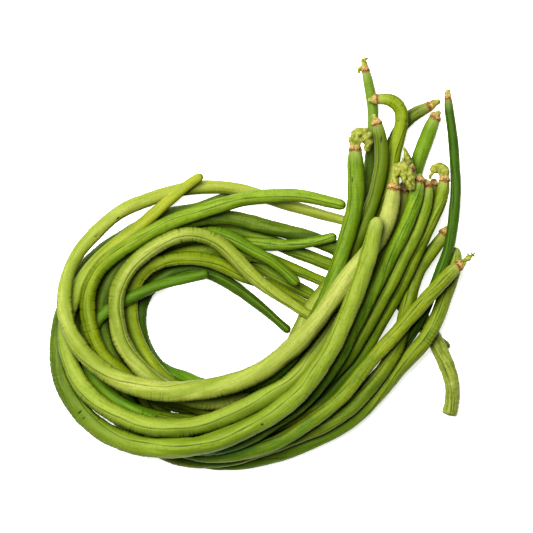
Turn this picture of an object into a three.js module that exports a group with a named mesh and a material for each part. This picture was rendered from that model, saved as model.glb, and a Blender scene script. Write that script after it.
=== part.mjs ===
// A loose bunch of yardlong beans, coiled once and laid on a table.
// Millimetres, +Z up. The origin is on the table, under the middle of the bunch.
//
// Each pod is a slender lathe form, bent along a line of its own. A line starts as a route drawn
// in plan, with a rough layer for every point, and then all lines settle together: they sink,
// stay as stiff as a fresh pod, rest on the table and hold each other apart.
import * as THREE from "three";

// Driving dimensions of the bunch
const PLAN_STEP = 0.6; // one step of the plan grid that the routes are drawn on
const PLAN_MIDDLE = [262, 262]; // plan point over the middle of the bunch
const LAYER = 8; // height of one layer of pods before they settle
const SIDES = 8; // faces round a pod, with one of them level below
const JOINT_GAP = 0.3; // between a pod and its stalk

// Driving dimensions of a pod and its stalk
const SHOULDER = 8; // length over which the stem end swells to full girth
const NECK = 0.68; // girth at the stem end, as a share of the full girth
const TIP_TAPER = 55; // length over which the far end narrows
const COLLAR = 0.72; // corky ring where the pod was set on its stalk, as a share of the girth
const STEM_ROUND = [[0, 0], [0.3, 0.75], [2, 1], [5, 1]]; // mm from the stem end, share of girth
const TIP_ROUND = [[4, 1], [1, 0.7], [0, 0]]; // mm before the tip, share of girth
const NECK_END = 0.8; // length over which a stalk widens to its collar
const CUT_FORM = [[0, 0], [0.3, 0.75], [1, 1]]; // mm from its cut end, share of its girth
const COLLAR_FORM = [[1.4, 0.92], [0.5, 1], [0, 0.75], [0, 0]]; // mm before the pod, share of its girth

// How the lines settle
const NODE_STEP = 2.8; // distance between the points of a line
const CLEARANCE = 1.17; // gap kept between neighbouring skins
const FALLING_PASSES = 900; // passes with weight on
const EASING_PASSES = 1200; // passes after those, in which the stiffness fades and the pods part
const SINK = 0.08; // fall in one pass
const STIFFNESS = 0.3; // pull of a point towards the middle of its two neighbours
const REACHES = [1, 3, 5]; // how many points away those neighbours are, in turn
const END_REACH = 1.5; // how straight a free end stays: 2 is quite straight, 1 lets it sag
const PLAN_HOLD = 0.08; // pull back towards the drawn route
const LIST_EVERY = 15; // passes between two searches for neighbours
const LIST_MARGIN = 3.5; // extra distance within which a pair is watched
const OWN_REACH = 12; // points of one pod this far apart can meet too
const CROSSING = 0.9; // share of the clear distance, seen in plan, within which two pods cross
const MOST_LIFT = 0.8; // mm that a crossing pod is lifted in one pass

// How finely a settled line is turned into faces
const KNOT_EVERY = 3; // points of the line between two knots of its final curve
const MOST_TURN = 0.16; // radians between two rings
const MOST_STEP = 16; // mm between two rings
const ROUTE_DIVISIONS = 1200; // pieces in which the length of a drawn route is measured
const PATH_DIVISIONS = 6; // the same for a settled line, for each of its points

// The pods, numbered by their stem ends from left to right. A route runs from the cut end of the
// stalk to the tip, and each point is plan x, plan y (down the page) and layer. The girths are
// spread evenly from the stem end to the tip, and a stalk has a length and a girth.
const PODS = [
  {
    name: "pod_01", girth: [9.8, 8, 6.4], stalk: [22.5, 4.6], tip: 0.62, route: [
      [366.5, 152, 2.9], [368, 145, 2.9], [366, 138, 2.8], [360, 135, 2.5], [356, 140, 2.2],
      [355, 149, 2],
      [355, 166, 2], [356, 182, 2], [356, 197, 2], [354, 211, 2], [350, 226, 2], [346, 241, 2],
      [341, 256, 2], [337, 273, 2], [331, 288, 2], [325, 304, 2], [316, 321, 2], [305, 337, 2],
      [295, 355, 2], [283, 369, 2], [265, 381, 2], [246, 388, 1.9], [226, 391, 1.2],
      [207, 391, 0.6], [187, 386, 0.1], [170, 378, 0], [156, 367, 0], [147, 352, 0], [141, 335, 0],
      [139, 318, 0], [142, 302, 0], [149, 289, 0], [160, 279, 0], [175, 271, 0], [192, 268, 0],
      [208, 272, 0], [222, 279, 0], [238, 289, 0], [255, 302, 0], [273, 317, 0], [290, 332, 0],
    ],
  },
  {
    name: "pod_02", girth: [5.8, 9.6, 7.6], stalk: [7, 3.2], tip: 0.66, route: [
      [363, 58, 1], [365, 67, 1], [369, 85, 1], [372, 100, 1], [373, 115, 1], [373, 130, 1],
      [372, 145, 1], [370, 160, 1], [369, 175, 1], [367, 190, 1], [365, 205, 1], [361, 220, 1],
      [356, 235, 1], [351, 250, 1], [343, 267, 1], [333, 286, 1], [322, 306, 1], [308, 325, 1.1],
      [296, 345, 1], [282, 365, 1], [264, 382, 1], [242, 397, 1.4], [220, 402, 1.6],
      [200, 401, 1.8], [180, 395, 2], [160, 385, 2], [143, 371, 2], [130, 355, 2.3],
      [121, 338, 3], [117, 320, 3.8], [116, 303, 3.8], [119, 287, 3.1], [127, 272, 2.5],
      [138, 259, 2], [152, 248, 2], [168, 239, 2], [187, 234, 2], [205, 236, 2], [221, 244, 2],
      [233, 256, 1.9], [245, 268, 1.6], [257, 280, 1.2], [273, 292, 1], [290, 303, 0.9],
      [302, 312, 0.8], [309, 317, 0.7],
    ],
  },
  {
    name: "pod_03", girth: [7.6, 8.8, 7.8], stalk: [6, 3.4], tip: 0.74, route: [
      [373, 114, 2], [376, 121, 2], [380, 136, 2], [382, 154, 2], [380, 172, 2], [377, 188, 2],
      [373, 203, 2], [367, 219, 2], [361, 234, 2], [355, 250, 2], [349, 265, 2], [340, 279, 2],
      [331, 292, 2], [321, 308, 2], [313, 325, 2], [306, 341, 1.8], [298, 354, 1.5],
      [288, 366, 1.2], [277, 377, 1], [263, 386, 1], [252, 401, 1], [236, 408, 1.2], [220, 410, 1.1],
      [204, 408, 1], [188, 401, 1], [170, 398, 1], [150, 391, 1], [132, 381, 1], [116, 369, 1.2],
      [103, 355, 1.8], [94, 339, 2.4], [89, 322, 2.7], [87, 305, 2.5], [89, 289, 2.2], [95, 275, 2],
      [105, 263, 2], [118, 253, 2], [133, 244, 2], [150, 234, 2], [170, 223, 1.8],
      [188, 216, 1.7], [206, 210, 1.6], [225, 204, 1.7], [243, 199, 2], [259, 197, 1.8],
      [275, 196, 1.4], [291, 195, 1.1], [310, 197, 1], [330, 202, 1], [346, 206, 1],
    ],
  },
  {
    name: "pod_04", girth: [7.4, 7.8, 7.4], stalk: [5, 3.2], tip: 0.66, route: [
      [368, 100, 2.2], [376, 99, 2], [384, 98, 1.8], [394, 100, 1.5], [401, 106, 1.2],
      [403, 115, 1.1], [402, 124, 1], [399, 134, 1], [396, 144, 1], [394, 156, 1], [393, 168, 1],
      [391, 180, 1], [388, 192, 1], [383, 205, 1], [377, 218, 1], [368, 236, 1], [357, 254, 1],
      [346, 270, 1.2], [335, 287, 1.5], [323, 306, 1.2], [310, 324, 0.5], [297, 339, 0.6],
      [284, 355, 0.8], [268, 369, 0.4], [250, 381, 0.1], [230, 388, 0], [210, 393, 0], [190, 391, 0.3],
      [172, 382, 0.8], [156, 368, 1], [143, 351, 1], [135, 333, 1], [131, 315, 1], [131, 298, 1],
      [135, 284, 1], [143, 272, 1], [156, 263, 1], [172, 259, 1], [190, 257, 1], [205, 259, 1],
      [218, 263, 1], [231, 269, 1], [244, 276, 0.9], [258, 281, 0.5], [274, 287, 0.1],
      [291, 297, 0], [309, 307, 0],
    ],
  },
  {
    name: "pod_05", girth: [9.6, 11.4, 8], stalk: [0, 0], tip: 0.5, route: [
      [378, 217, 4], [374, 232, 4], [371, 246, 3.8], [366, 262, 3.6], [361, 278, 3.4],
      [355, 294, 3.2], [348, 310, 3], [341, 326, 2.8], [334, 343, 2.6], [326, 356, 2.4],
      [316, 370, 2.2], [306, 384, 2], [293, 397, 2], [279, 408, 2], [262, 418, 2], [244, 427, 2],
      [222, 437, 2], [200, 444, 2], [180, 446, 2], [160, 447, 1.8], [140, 445, 1.4],
      [120, 439, 1], [100, 429, 0.6], [83, 414, 0.3], [69, 394, 0], [61, 376, 0], [58, 355, 0],
      [59, 336, 0], [62, 320, 0], [66, 305, 0], [72, 290, 0], [81, 274, 0], [93, 259, 0],
      [110, 246, 0], [130, 233, 0], [150, 222, 0], [170, 214, 0], [190, 210, 0], [206, 204, 0],
      [222, 197, 0], [238, 192, 0],
    ],
  },
  {
    name: "pod_06", girth: [10, 11.8, 8, 6.6], stalk: [28.4, 4.6], tip: 0.7, route: [
      [411, 191, 4.4], [410, 183, 4.4], [407, 175, 4.3], [401, 169, 3.9], [396, 173, 3.5],
      [394.5, 182, 3.2], [393.5, 191, 3], [391, 206, 3], [387, 221, 2.8], [380, 236, 2.8],
      [371, 249, 2.8], [360, 262, 3], [350, 275, 3.1], [340, 289, 3.2], [329, 305, 3.2],
      [317, 321, 3.2], [304, 336, 3], [290, 350, 3], [272, 364, 3], [252, 376, 3],
      [230, 384, 3], [207, 389, 3], [185, 391, 3], [163, 391, 3], [141, 387, 3], [120, 380, 3], [101, 369, 3], [85, 354, 3],
      [73, 337, 3], [66, 318, 2.8], [64.5, 298, 2.5], [67, 279, 2], [74, 260, 1.6], [87, 242, 1.1],
      [101, 228, 0.7], [115, 215, 0.4], [134, 205, 0.2], [155, 197, 0], [178, 190, 0],
      [200, 187, 0.4], [222, 187, 0.8], [243, 190, 1], [262, 196, 0.6], [283, 203, 0.2],
      [303, 209, 0], [328, 216, 0], [350, 222, 0],
    ],
  },
  {
    name: "pod_07", girth: [8, 10.4, 7.4], stalk: [5, 3.6], tip: 0.7, route: [
      [402, 182, 2], [403, 190, 2], [402, 204, 2], [398, 218, 2], [392, 232, 2], [385, 246, 2],
      [377, 260, 2], [368, 274, 2], [358, 289, 1.8], [347, 304, 1.6], [336, 320, 1.8],
      [325, 338, 2], [316, 350, 2], [307, 361, 2], [298, 373, 2], [288, 383, 2], [276, 391, 2],
      [263, 399, 2], [250, 407, 2], [235, 414, 2], [218, 421, 2], [200, 426, 2], [180, 428, 2],
      [160, 428, 2], [140, 424, 2], [120, 416, 2], [101, 405, 1.8], [86, 391, 1.5],
      [76, 376, 1.2], [69, 359, 1], [66, 342, 1], [66, 325, 1], [69, 308, 1], [76, 292, 1],
      [83, 280, 1], [90, 270, 1], [99, 260, 1], [109, 250, 1], [121, 241, 1], [133, 232, 1],
      [144, 223, 1.2], [155, 213, 1.5], [165, 204, 1.8], [178, 193, 2], [190, 183, 1.8],
      [203, 175, 1.4],
    ],
  },
  {
    name: "pod_08", girth: [7.6, 7.8, 7], stalk: [14, 3.8], tip: 0.6, route: [
      [404, 147, 1.6], [407, 156, 1.6], [410, 166, 1.6], [411, 176, 1.4], [410, 187, 1.2],
      [408, 199, 1.1], [405, 212, 1], [399, 226, 1], [391, 242, 1], [382, 258, 1], [372, 274, 1],
      [361, 291, 1], [351, 307, 1], [341, 323, 1], [331, 339, 1], [319, 355, 1], [305, 371, 1],
      [289, 386, 1], [270, 399, 1], [248, 410, 1], [225, 417, 1], [200, 421, 1], [175, 421, 1],
      [152, 416, 1],
    ],
  },
  {
    name: "pod_09", girth: [7.4, 7.6, 9], stalk: [7, 3.6], tip: 0.92, route: [
      [441, 102, 1], [435, 104, 1], [428, 107, 1], [420, 110, 1], [413, 115, 0.8],
      [405, 122, 0.4], [398, 131, 0.1], [393, 142, 0], [390, 155, 0], [388, 170, 0], [388, 188, 0.2],
      [388, 208, 0.8], [381, 232, 1.4], [367, 254, 2.6], [354, 276, 2.2], [342, 299, 1.8],
      [330, 322, 1.2], [317, 343, 0.8], [302, 363, 0.4], [284, 381, 0], [263, 394, 0],
      [240, 404, 0], [215, 409, 0], [190, 409, 0], [165, 403, 0.3], [145, 392, 0.6],
      [128, 378, 0.9], [115, 362, 1], [106, 345, 1], [103, 325, 1], [102, 308, 1], [105, 290, 1],
      [113, 273, 1], [126, 258, 1], [142, 246, 1], [160, 236, 0.8], [180, 226, 0.4],
      [202, 219, 0], [224, 217, 0], [248, 222, 0], [272, 228, 0], [296, 234, 0], [315, 239, 0],
      [334, 247, 0], [356, 259, 0], [376, 272, 0.4], [393, 286, 0.9], [409, 303, 1.1],
      [423, 321, 1.2], [434, 339, 1.2], [444, 358, 0.5], [451, 378, 0], [453, 398, 0], [449, 416, 0],
    ],
  },
  {
    name: "pod_10", girth: [8.6, 8.2, 6.2], stalk: [5, 3.4], tip: 0.8, route: [
      [440, 109, 1], [435, 117, 1], [429.5, 130, 1], [423.5, 147, 0.9], [418, 161, 0.8],
      [416, 173, 0.6], [412, 186, 0.5], [406, 201, 0.6], [399, 216, 0.8], [390, 232, 1],
      [378, 248, 1], [366.5, 265, 1], [357, 284, 1], [345, 306, 0.8], [332, 328, 0.5],
      [318, 349, 0.3], [302, 369, 0], [283, 387, 0], [262, 401, 0], [240, 411, 0], [215, 417, 0],
      [190, 420, 0.1], [165, 419, 0.3], [142, 413, 0.6], [121, 403, 0.9], [104, 389, 1],
      [92, 374, 1], [86, 358, 1], [87, 342, 1.2], [93, 327, 1.5], [102, 315, 2.1], [114, 306, 2.4],
      [128, 299, 2.7], [142, 292, 2.4], [156, 286, 1.8], [172, 281, 1.2], [189, 278, 1],
      [209, 273, 1],
    ],
  },
  {
    name: "pod_11", girth: [8.2, 8, 6.4], stalk: [4, 3.6], tip: 0.7, route: [
      [420, 174, 2.4], [419, 181, 2.4], [417, 193, 2.2], [414, 205, 2.2], [409, 218, 2.2],
      [403, 232, 2.2], [396, 245, 2.2], [389, 257, 2.2], [382, 270, 2.2], [376, 282, 2.2],
      [370, 294, 2.2], [364, 306, 2.1], [357, 320, 2], [350, 334, 2], [344, 349, 1.9],
      [336, 361, 1.8], [328, 373, 1.7], [317, 388, 1.5], [304, 402, 1.3], [288, 414, 1.2],
      [270, 425, 1.1], [250, 437, 1], [228, 446, 1], [205, 449, 0.9], [182, 446, 0.6],
      [160, 437, 0.3], [142, 422, 0], [128, 402, 0], [115, 380, 0], [106, 356, 0], [102, 332, 0],
      [104, 310, 0], [112, 291, 0], [125, 275, 0], [142, 262, 0], [162, 252, 0], [182, 246, 0],
      [202, 244, 0], [222, 245, 0], [242, 246, 0.3], [258, 246, 0.8], [274, 246, 1],
      [292, 245, 1], [314, 242, 1], [337, 236, 1],
    ],
  },
  {
    name: "pod_12", girth: [7.6, 7.8, 6.6], stalk: [4, 3.6], tip: 0.66, route: [
      [424, 179, 2.1], [427, 187, 2.1], [427, 197, 2], [424, 209, 2], [420, 222, 2],
      [414, 236, 2], [407, 250, 2], [400, 264, 2], [391, 282, 2], [381, 300, 2], [371, 319, 1.9],
      [361, 337, 1.8], [352, 353, 1.7], [342, 367, 1.5], [331, 380, 1.3], [319, 391, 1.2],
      [306, 401, 1], [291, 411, 1], [275, 421, 0.9], [257, 431, 0.7], [238, 439, 0.5],
      [218, 444, 0.2], [196, 444, 0], [174, 437, 0], [155, 423, 0], [140, 404, 0], [128, 382, 0],
      [119, 358, 0], [114, 334, 0], [116, 311, 0], [124, 291, 0.1], [138, 275, 0.3],
      [156, 263, 0.6], [176, 254, 0.9], [198, 250, 1], [220, 250, 1], [238, 251, 0.8],
      [254, 255, 0.4], [269, 260, 0.1], [286, 267, 0], [303, 273, 0], [326, 283, 0],
      [341, 289, 0],
    ],
  },
  {
    name: "pod_13", girth: [7.4, 7.6, 6.8], stalk: [4, 3.6], tip: 0.6, route: [
      [434, 178, 1.5], [434, 185, 1.5], [432, 197, 1.3], [428, 210, 1.2], [422, 222, 1.1],
      [414, 235, 1], [404, 252, 1.2], [394, 268, 1.6], [385, 283, 1.7], [377, 297, 1.5], [370, 310, 1],
      [363, 322, 1], [356, 334, 0.9], [349, 346, 0.8], [340, 359, 0.7], [328, 373, 0.6],
      [315, 386, 0.5], [299, 398, 0.4], [281, 409, 0.3], [261, 420, 0.2], [239, 428, 0.1],
      [215, 433, 0], [190, 434, 0], [168, 428, 0],
    ],
  },
  {
    name: "pod_14", girth: [7.8, 8, 7.8], stalk: [14, 3.8], tip: 0.74, route: [
      [433, 173, 2.7], [436, 168, 2.7], [442, 169, 2.5], [444, 176, 2.3], [444, 188, 2],
      [440, 200, 2], [434.5, 213, 2], [428, 225, 2], [422.5, 237, 2], [416, 250, 2], [410, 263, 2],
      [403, 278, 2], [396, 293, 2], [388, 309, 1.9], [380, 322, 1.8], [371, 338, 1.6],
      [361, 355, 1.4], [349, 369, 1.2], [336, 382, 1], [322, 394, 1], [305, 405, 0.8],
      [287, 416, 0.6], [266, 427, 0.5], [243, 435, 1], [219, 438, 1.1], [196, 436, 0.9],
      [176, 427, 0.3], [161, 412, 0], [150, 392, 0], [139, 369, 0], [130, 345, 0], [127, 322, 0],
      [131, 301, 0], [141, 284, 0], [156, 271, 0], [175, 261, 0], [195, 257, 0], [213, 255, 0],
      [229, 253, 0], [243, 255, 0.2], [257, 262, 0.5], [272, 271, 0.8], [287, 281, 0.8],
      [301, 290, 0.7], [316, 297, 0.5],
    ],
  },
  {
    name: "pod_15", girth: [7.8, 8, 6.4], stalk: [5, 3.6], tip: 0.7, route: [
      [449, 226, 1.6], [445, 233, 1.6], [440, 242, 1.5], [433, 250, 1.4], [425, 260, 1.3],
      [418, 271, 1.2], [414, 284, 1.5], [410, 297, 1.9], [406, 311, 2], [404, 325, 1.6],
      [401, 339, 1], [396, 351, 1], [389, 362, 1], [381, 373, 1], [371, 387, 1], [360, 400, 1],
      [348, 411, 1], [335, 420, 0.9], [320, 428, 0.8], [305, 434, 0.8], [290, 440, 0.7],
      [270, 447, 0.6], [250, 454, 0.6], [228, 459, 0.5], [205, 461, 0.3], [182, 459, 0.1],
      [159, 450, 0], [139, 435, 0], [120, 418, 0], [103, 401, 0], [89, 380, 0], [79, 356, 0],
      [75, 332, 0], [78, 309, 0], [87, 289, 0], [101, 272, 0], [118, 259, 0], [137, 249, 0],
      [157, 241, 0], [176, 235, 0], [194, 231, 0], [210, 230, 0], [226, 232, 0], [243, 235, 0],
      [260, 238, 0], [276, 243, 0], [291, 250, 0], [309, 257, 0], [332, 265, 0], [352, 273, 0],
      [371, 282, 0], [388, 293, 0], [404, 308, 0], [418, 324, 0], [430, 335, 0], [441, 341, 0],
      [450, 348, 0],
    ],
  },
  {
    name: "pod_16", girth: [5.2, 6, 6.2], stalk: [5, 3.4], tip: 0.6, route: [
      [448, 89, 2], [448, 97, 2], [449, 110, 2], [452, 130, 2], [454, 150, 2], [455, 170, 2],
      [456, 190, 2], [454, 210, 2], [452, 230, 2], [449, 250, 1.9], [443, 266, 1.7],
      [437, 280, 1.8], [431, 295, 2.1], [425, 309, 2.2], [418, 322, 2], [410, 335, 1.5],
      [401, 348, 0.9], [388, 364, 0.3], [372, 381, 0.1], [352, 398, 0], [328, 413, 0],
      [303, 426, 0], [277, 437, 0], [250, 446, 0], [222, 452, 0], [196, 453, 0], [172, 447, 0],
    ],
  },
  {
    name: "pod_17", girth: [7.8, 8, 7], stalk: [13, 3.8], tip: 0.7, route: [
      [476, 252, 2.4], [470, 257, 2.4], [463, 262, 2.4], [454, 269, 2.3], [445, 278, 2.7],
      [435, 289, 3], [425, 300, 3.1], [416, 310, 3.1], [406, 322, 3], [395, 334, 2.6],
      [384, 346, 2], [373, 358, 1.9], [362, 371, 1.8], [351, 385, 1.7], [337, 401, 1.6],
      [321, 414, 1.5], [305, 425, 1.4], [288, 436, 1.3], [270, 445, 1.2], [250, 451, 1.1],
      [228, 455, 1], [205, 455, 0.9], [183, 450, 0.6], [163, 440, 0.3], [145, 424, 0],
      [129, 406, 0], [112, 388, 0], [98, 366, 0], [90, 343, 0], [89, 320, 0], [94, 300, 0.1],
      [105, 283, 0.3], [120, 270, 0.5], [138, 258, 0.7], [158, 248, 0.9], [178, 241, 1],
      [197, 236, 1], [211, 233, 1], [224, 235, 1.1], [238, 243, 1.2], [254, 252, 1.2],
      [271, 260, 1.1], [283, 270, 1], [292, 279, 0.9], [299, 285, 0.8],
    ],
  },
  {
    name: "pod_18", girth: [8.2, 8.4, 7.6], stalk: [0, 0], tip: 0.6, route: [
      [455, 247, 1.3], [454, 262, 1.3], [450, 277, 1.3], [445.5, 292, 1.4], [441, 307, 1.6],
      [435, 322, 2.2], [427, 337, 2.2], [416, 350, 1.4], [405, 360, 0.8], [396, 370, 0.3],
      [385, 385, 0.1], [373, 400, 0], [360, 413, 0], [343, 426, 0], [323, 437, 0], [302, 447, 0],
      [280, 454, 0], [257, 460, 0], [235, 464, 0], [215, 465, 0], [196, 461, 0], [177, 456, 0],
    ],
  },
];

// Girth of a pod at a distance from its stem end.
function girthAt(pod, along, length) {
  const swell = THREE.MathUtils.smoothstep(along, 0, SHOULDER);
  const narrow = THREE.MathUtils.smoothstep(along, length - TIP_TAPER, length);
  const place = (along / length) * (pod.girth.length - 1);
  const before = Math.min(Math.floor(place), pod.girth.length - 2);
  const share = THREE.MathUtils.smoothstep(place - before, 0, 1);
  const full = THREE.MathUtils.lerp(pod.girth[before], pod.girth[before + 1], share);
  return full * (NECK + (1 - NECK) * swell) * (1 - (1 - pod.tip) * narrow);
}

// A line of evenly spaced points along a drawn route, each with the pod's radius there.
function drawLine(pod) {
  const points = pod.route.map(([x, y, layer]) => new THREE.Vector3(
    (x - PLAN_MIDDLE[0]) * PLAN_STEP,
    (PLAN_MIDDLE[1] - y) * PLAN_STEP,
    layer * LAYER + pod.girth[0] / 2,
  ));
  const curve = new THREE.CatmullRomCurve3(points, false, "centripetal");
  curve.arcLengthDivisions = ROUTE_DIVISIONS;
  const length = curve.getLength();
  const [stalk] = pod.stalk;
  const count = Math.round(length / NODE_STEP);
  return curve.getSpacedPoints(count).map((place, order) => {
    const along = Math.max((order / count) * length - stalk, 0);
    const girth = girthAt(pod, along, length - stalk);
    return { place, plan: place.clone(), radius: girth / 2, pod, order };
  });
}

// Pairs of points that are close enough to meet soon, on two pods or on far parts of one.
function nearPairs(nodes) {
  const sorted = [...nodes].sort((a, b) => a.place.x - b.place.x);
  const pairs = [];
  for (let i = 0; i < sorted.length; i += 1) {
    const a = sorted[i];
    for (let j = i + 1; j < sorted.length; j += 1) {
      const b = sorted[j];
      if (b.place.x - a.place.x > 2 * LAYER) break;
      const reach = a.radius + b.radius + CLEARANCE + LIST_MARGIN;
      const strangers = a.pod !== b.pod || Math.abs(a.order - b.order) > OWN_REACH;
      if (strangers && a.place.distanceToSquared(b.place) < reach * reach) pairs.push([a, b]);
    }
  }
  return pairs;
}

// Moves two points apart, half each, until their skins clear each other. Where one is drawn a
// layer above the other and they cross, it is lifted over it, so that it can't slip through.
const apart = new THREE.Vector3();
function part(a, b) {
  apart.subVectors(b.place, a.place);
  const wanted = a.radius + b.radius + CLEARANCE;
  const across = Math.hypot(apart.x, apart.y);
  const drawn = b.plan.z - a.plan.z;
  if (Math.abs(drawn) > LAYER / 2 && across < CROSSING * wanted) {
    const lift = Math.sqrt(wanted * wanted - across * across) - apart.z * Math.sign(drawn);
    if (lift > 0) apart.set(0, 0, (Math.sign(drawn) * Math.min(lift, MOST_LIFT)) / 2);
    else return;
  } else {
    const distance = apart.length();
    if (distance >= wanted) return;
    apart.multiplyScalar((wanted - distance) / (2 * distance));
  }
  a.place.sub(apart);
  b.place.add(apart);
}

// Keeps a line as stiff as a fresh pod: in plan it keeps the bends of its route, and in height it
// is straight. Near its ends a point is pulled to where the line before it points.
function stiffen(line, reach, strength) {
  const last = line.length - 1;
  const moved = line.map(({ place, plan }) => (
    new THREE.Vector3(place.x - plan.x, place.y - plan.y, place.z)
  ));
  line.forEach((node, i) => {
    const target = new THREE.Vector3();
    if (i < reach) target.lerpVectors(moved[i + 2 * reach], moved[i + reach], END_REACH);
    else if (i > last - reach) target.lerpVectors(moved[i - 2 * reach], moved[i - reach], END_REACH);
    else target.lerpVectors(moved[i - reach], moved[i + reach], 0.5);
    node.place.addScaledVector(target.sub(moved[i]), strength);
  });
}

// Half the height of a pod that lies on one of its flats.
const flatRadius = (radius) => radius * Math.cos(Math.PI / SIDES);

// Lets all lines sink together until they rest on the table and on each other.
function settle(lines) {
  const nodes = lines.flat();
  let pairs = [];
  for (let pass = 0; pass < FALLING_PASSES + EASING_PASSES; pass += 1) {
    const left = Math.min((FALLING_PASSES + EASING_PASSES - pass) / EASING_PASSES, 1);
    if (pass % LIST_EVERY === 0) pairs = nearPairs(nodes);
    lines.forEach((line) => stiffen(line, REACHES[pass % REACHES.length], STIFFNESS * left));
    nodes.forEach((node) => {
      if (left === 1) node.place.z -= SINK;
      node.place.x += PLAN_HOLD * left * (node.plan.x - node.place.x);
      node.place.y += PLAN_HOLD * left * (node.plan.y - node.place.y);
    });
    pairs.forEach(([a, b]) => part(a, b));
    nodes.forEach((node) => {
      node.place.z = Math.max(node.place.z, flatRadius(node.radius));
    });
  }
}

const lines = PODS.map(drawLine);
settle(lines);

// A smooth path through a settled line, with places and directions at a distance along it. It goes
// through every point of the stalk, which can curl.
function pathOf(line, stalk) {
  const last = line.length - 1;
  const curled = Math.ceil(stalk / NODE_STEP / KNOT_EVERY) * KNOT_EVERY;
  const knots = line.filter((node, i) => (
    i < curled || (i % KNOT_EVERY === 0 && i < last - KNOT_EVERY / 2)
  ));
  knots.push(line[last]);
  const curve = new THREE.CatmullRomCurve3(knots.map((node) => node.place), false, "centripetal");
  curve.arcLengthDivisions = line.length * PATH_DIVISIONS;
  const length = curve.getLength();
  return {
    length,
    at: (along) => curve.getPointAt(THREE.MathUtils.clamp(along / length, 0, 1)),
    heading: (along) => curve.getTangentAt(THREE.MathUtils.clamp(along / length, 0, 1)),
  };
}

// Distances along a path at which a bent form needs a ring: closer together where it turns.
function stations(path, from, to) {
  const found = [];
  let last = from;
  for (let along = from; along < to; along += 1) {
    const turn = path.heading(last).angleTo(path.heading(along));
    if (turn > MOST_TURN || along - last > MOST_STEP) {
      found.push(along);
      last = along;
    }
  }
  return found;
}

// Bends a lathe form, which stands along +Y, so that it follows a path from a given distance on.
const UP = new THREE.Vector3(0, 0, 1);
function bend(lathe, path, from) {
  const position = lathe.getAttribute("position");
  const point = new THREE.Vector3();
  for (let i = 0; i < position.count; i += 1) {
    point.fromBufferAttribute(position, i);
    const heading = path.heading(from + point.y);
    const side = new THREE.Vector3().crossVectors(heading, UP).normalize();
    const over = new THREE.Vector3().crossVectors(side, heading);
    const placed = path.at(from + point.y)
      .addScaledVector(side, point.x)
      .addScaledVector(over, point.z);
    position.setXYZ(i, placed.x, placed.y, Math.max(placed.z, 0));
  }
  lathe.computeVertexNormals();
  return lathe;
}

// A pod as a lathe form: a rounded stem end, a long even body and a tapered, rounded tip.
function podGeometry(pod, path) {
  const [stalk] = pod.stalk;
  const length = path.length - stalk;
  const radius = (along) => girthAt(pod, along, length) / 2;
  const bodyFrom = STEM_ROUND.at(-1)[0] + stalk;
  const bodyTo = path.length - 2 * TIP_ROUND[0][0];
  const profile = [
    ...STEM_ROUND.map(([along, share]) => [share * radius(along), along]),
    ...stations(path, bodyFrom, bodyTo).map((at) => [radius(at - stalk), at - stalk]),
    ...TIP_ROUND.map(([before, share]) => [share * radius(length - before), length - before]),
  ];
  const points = profile.map(([r, y]) => new THREE.Vector2(r, y));
  return bend(new THREE.LatheGeometry(points, SIDES, Math.PI / SIDES), path, stalk);
}

// A stalk as a lathe form: the cut end, a fleshy neck and the corky collar against the pod.
function stalkGeometry(pod, path) {
  const [length, girth] = pod.stalk;
  const end = length - JOINT_GAP;
  const collar = (COLLAR * pod.girth[0]) / 2;
  const neckFrom = CUT_FORM.at(-1)[0];
  const neckTo = end - COLLAR_FORM[0][0] - NECK_END;
  const profile = [
    ...CUT_FORM.map(([along, share]) => [(share * girth) / 2, along]),
    ...stations(path, neckFrom, neckTo).map((along) => [girth / 2, along]),
    [girth / 2, neckTo],
    ...COLLAR_FORM.map(([before, share]) => [share * collar, end - before]),
  ];
  const points = profile.map(([r, y]) => new THREE.Vector2(r, y));
  return bend(new THREE.LatheGeometry(points, SIDES, Math.PI / SIDES), path, 0);
}

const podGreen = new THREE.MeshStandardMaterial({ color: 0x86a83a, roughness: 0.5, metalness: 0 });
const stalkGreen = new THREE.MeshStandardMaterial({ color: 0xb3a566, roughness: 0.8, metalness: 0 });

const bunch = new THREE.Group();
PODS.forEach((pod, i) => {
  const path = pathOf(lines[i], pod.stalk[0]);
  const body = new THREE.Mesh(podGeometry(pod, path), podGreen);
  body.name = pod.name;
  bunch.add(body);
  if (pod.stalk[0] > 0) {
    const stalk = new THREE.Mesh(stalkGeometry(pod, path), stalkGreen);
    stalk.name = pod.name.replace("pod", "stalk");
    bunch.add(stalk);
  }
});

// Sets the origin on the table, under the middle of the bunch.
const box = new THREE.Box3().setFromObject(bunch);
const middle = box.getCenter(new THREE.Vector3());
bunch.position.set(-middle.x, -middle.y, -box.min.z);

export default bunch;
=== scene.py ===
# %% [markdown]
# # A loose bunch of yardlong beans
#
# A yardlong bean is a pod half a metre long and about as thick as a pencil. Here a handful of
# them has been looped round once and laid on a white table, stem ends together. The solids that
# this scene starts from know where every pod lies and how thick it is, but they have eight
# plain sides. This lesson grows a skin on each of them: seeds that swell it, two seams that
# wander round it, fine creases on its strained sides, and the dry end of the stalk that held it.
#
# All sizes are worked out in millimetres, as a gardener would measure them, and are turned into
# the scene's metres in one place.

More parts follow.
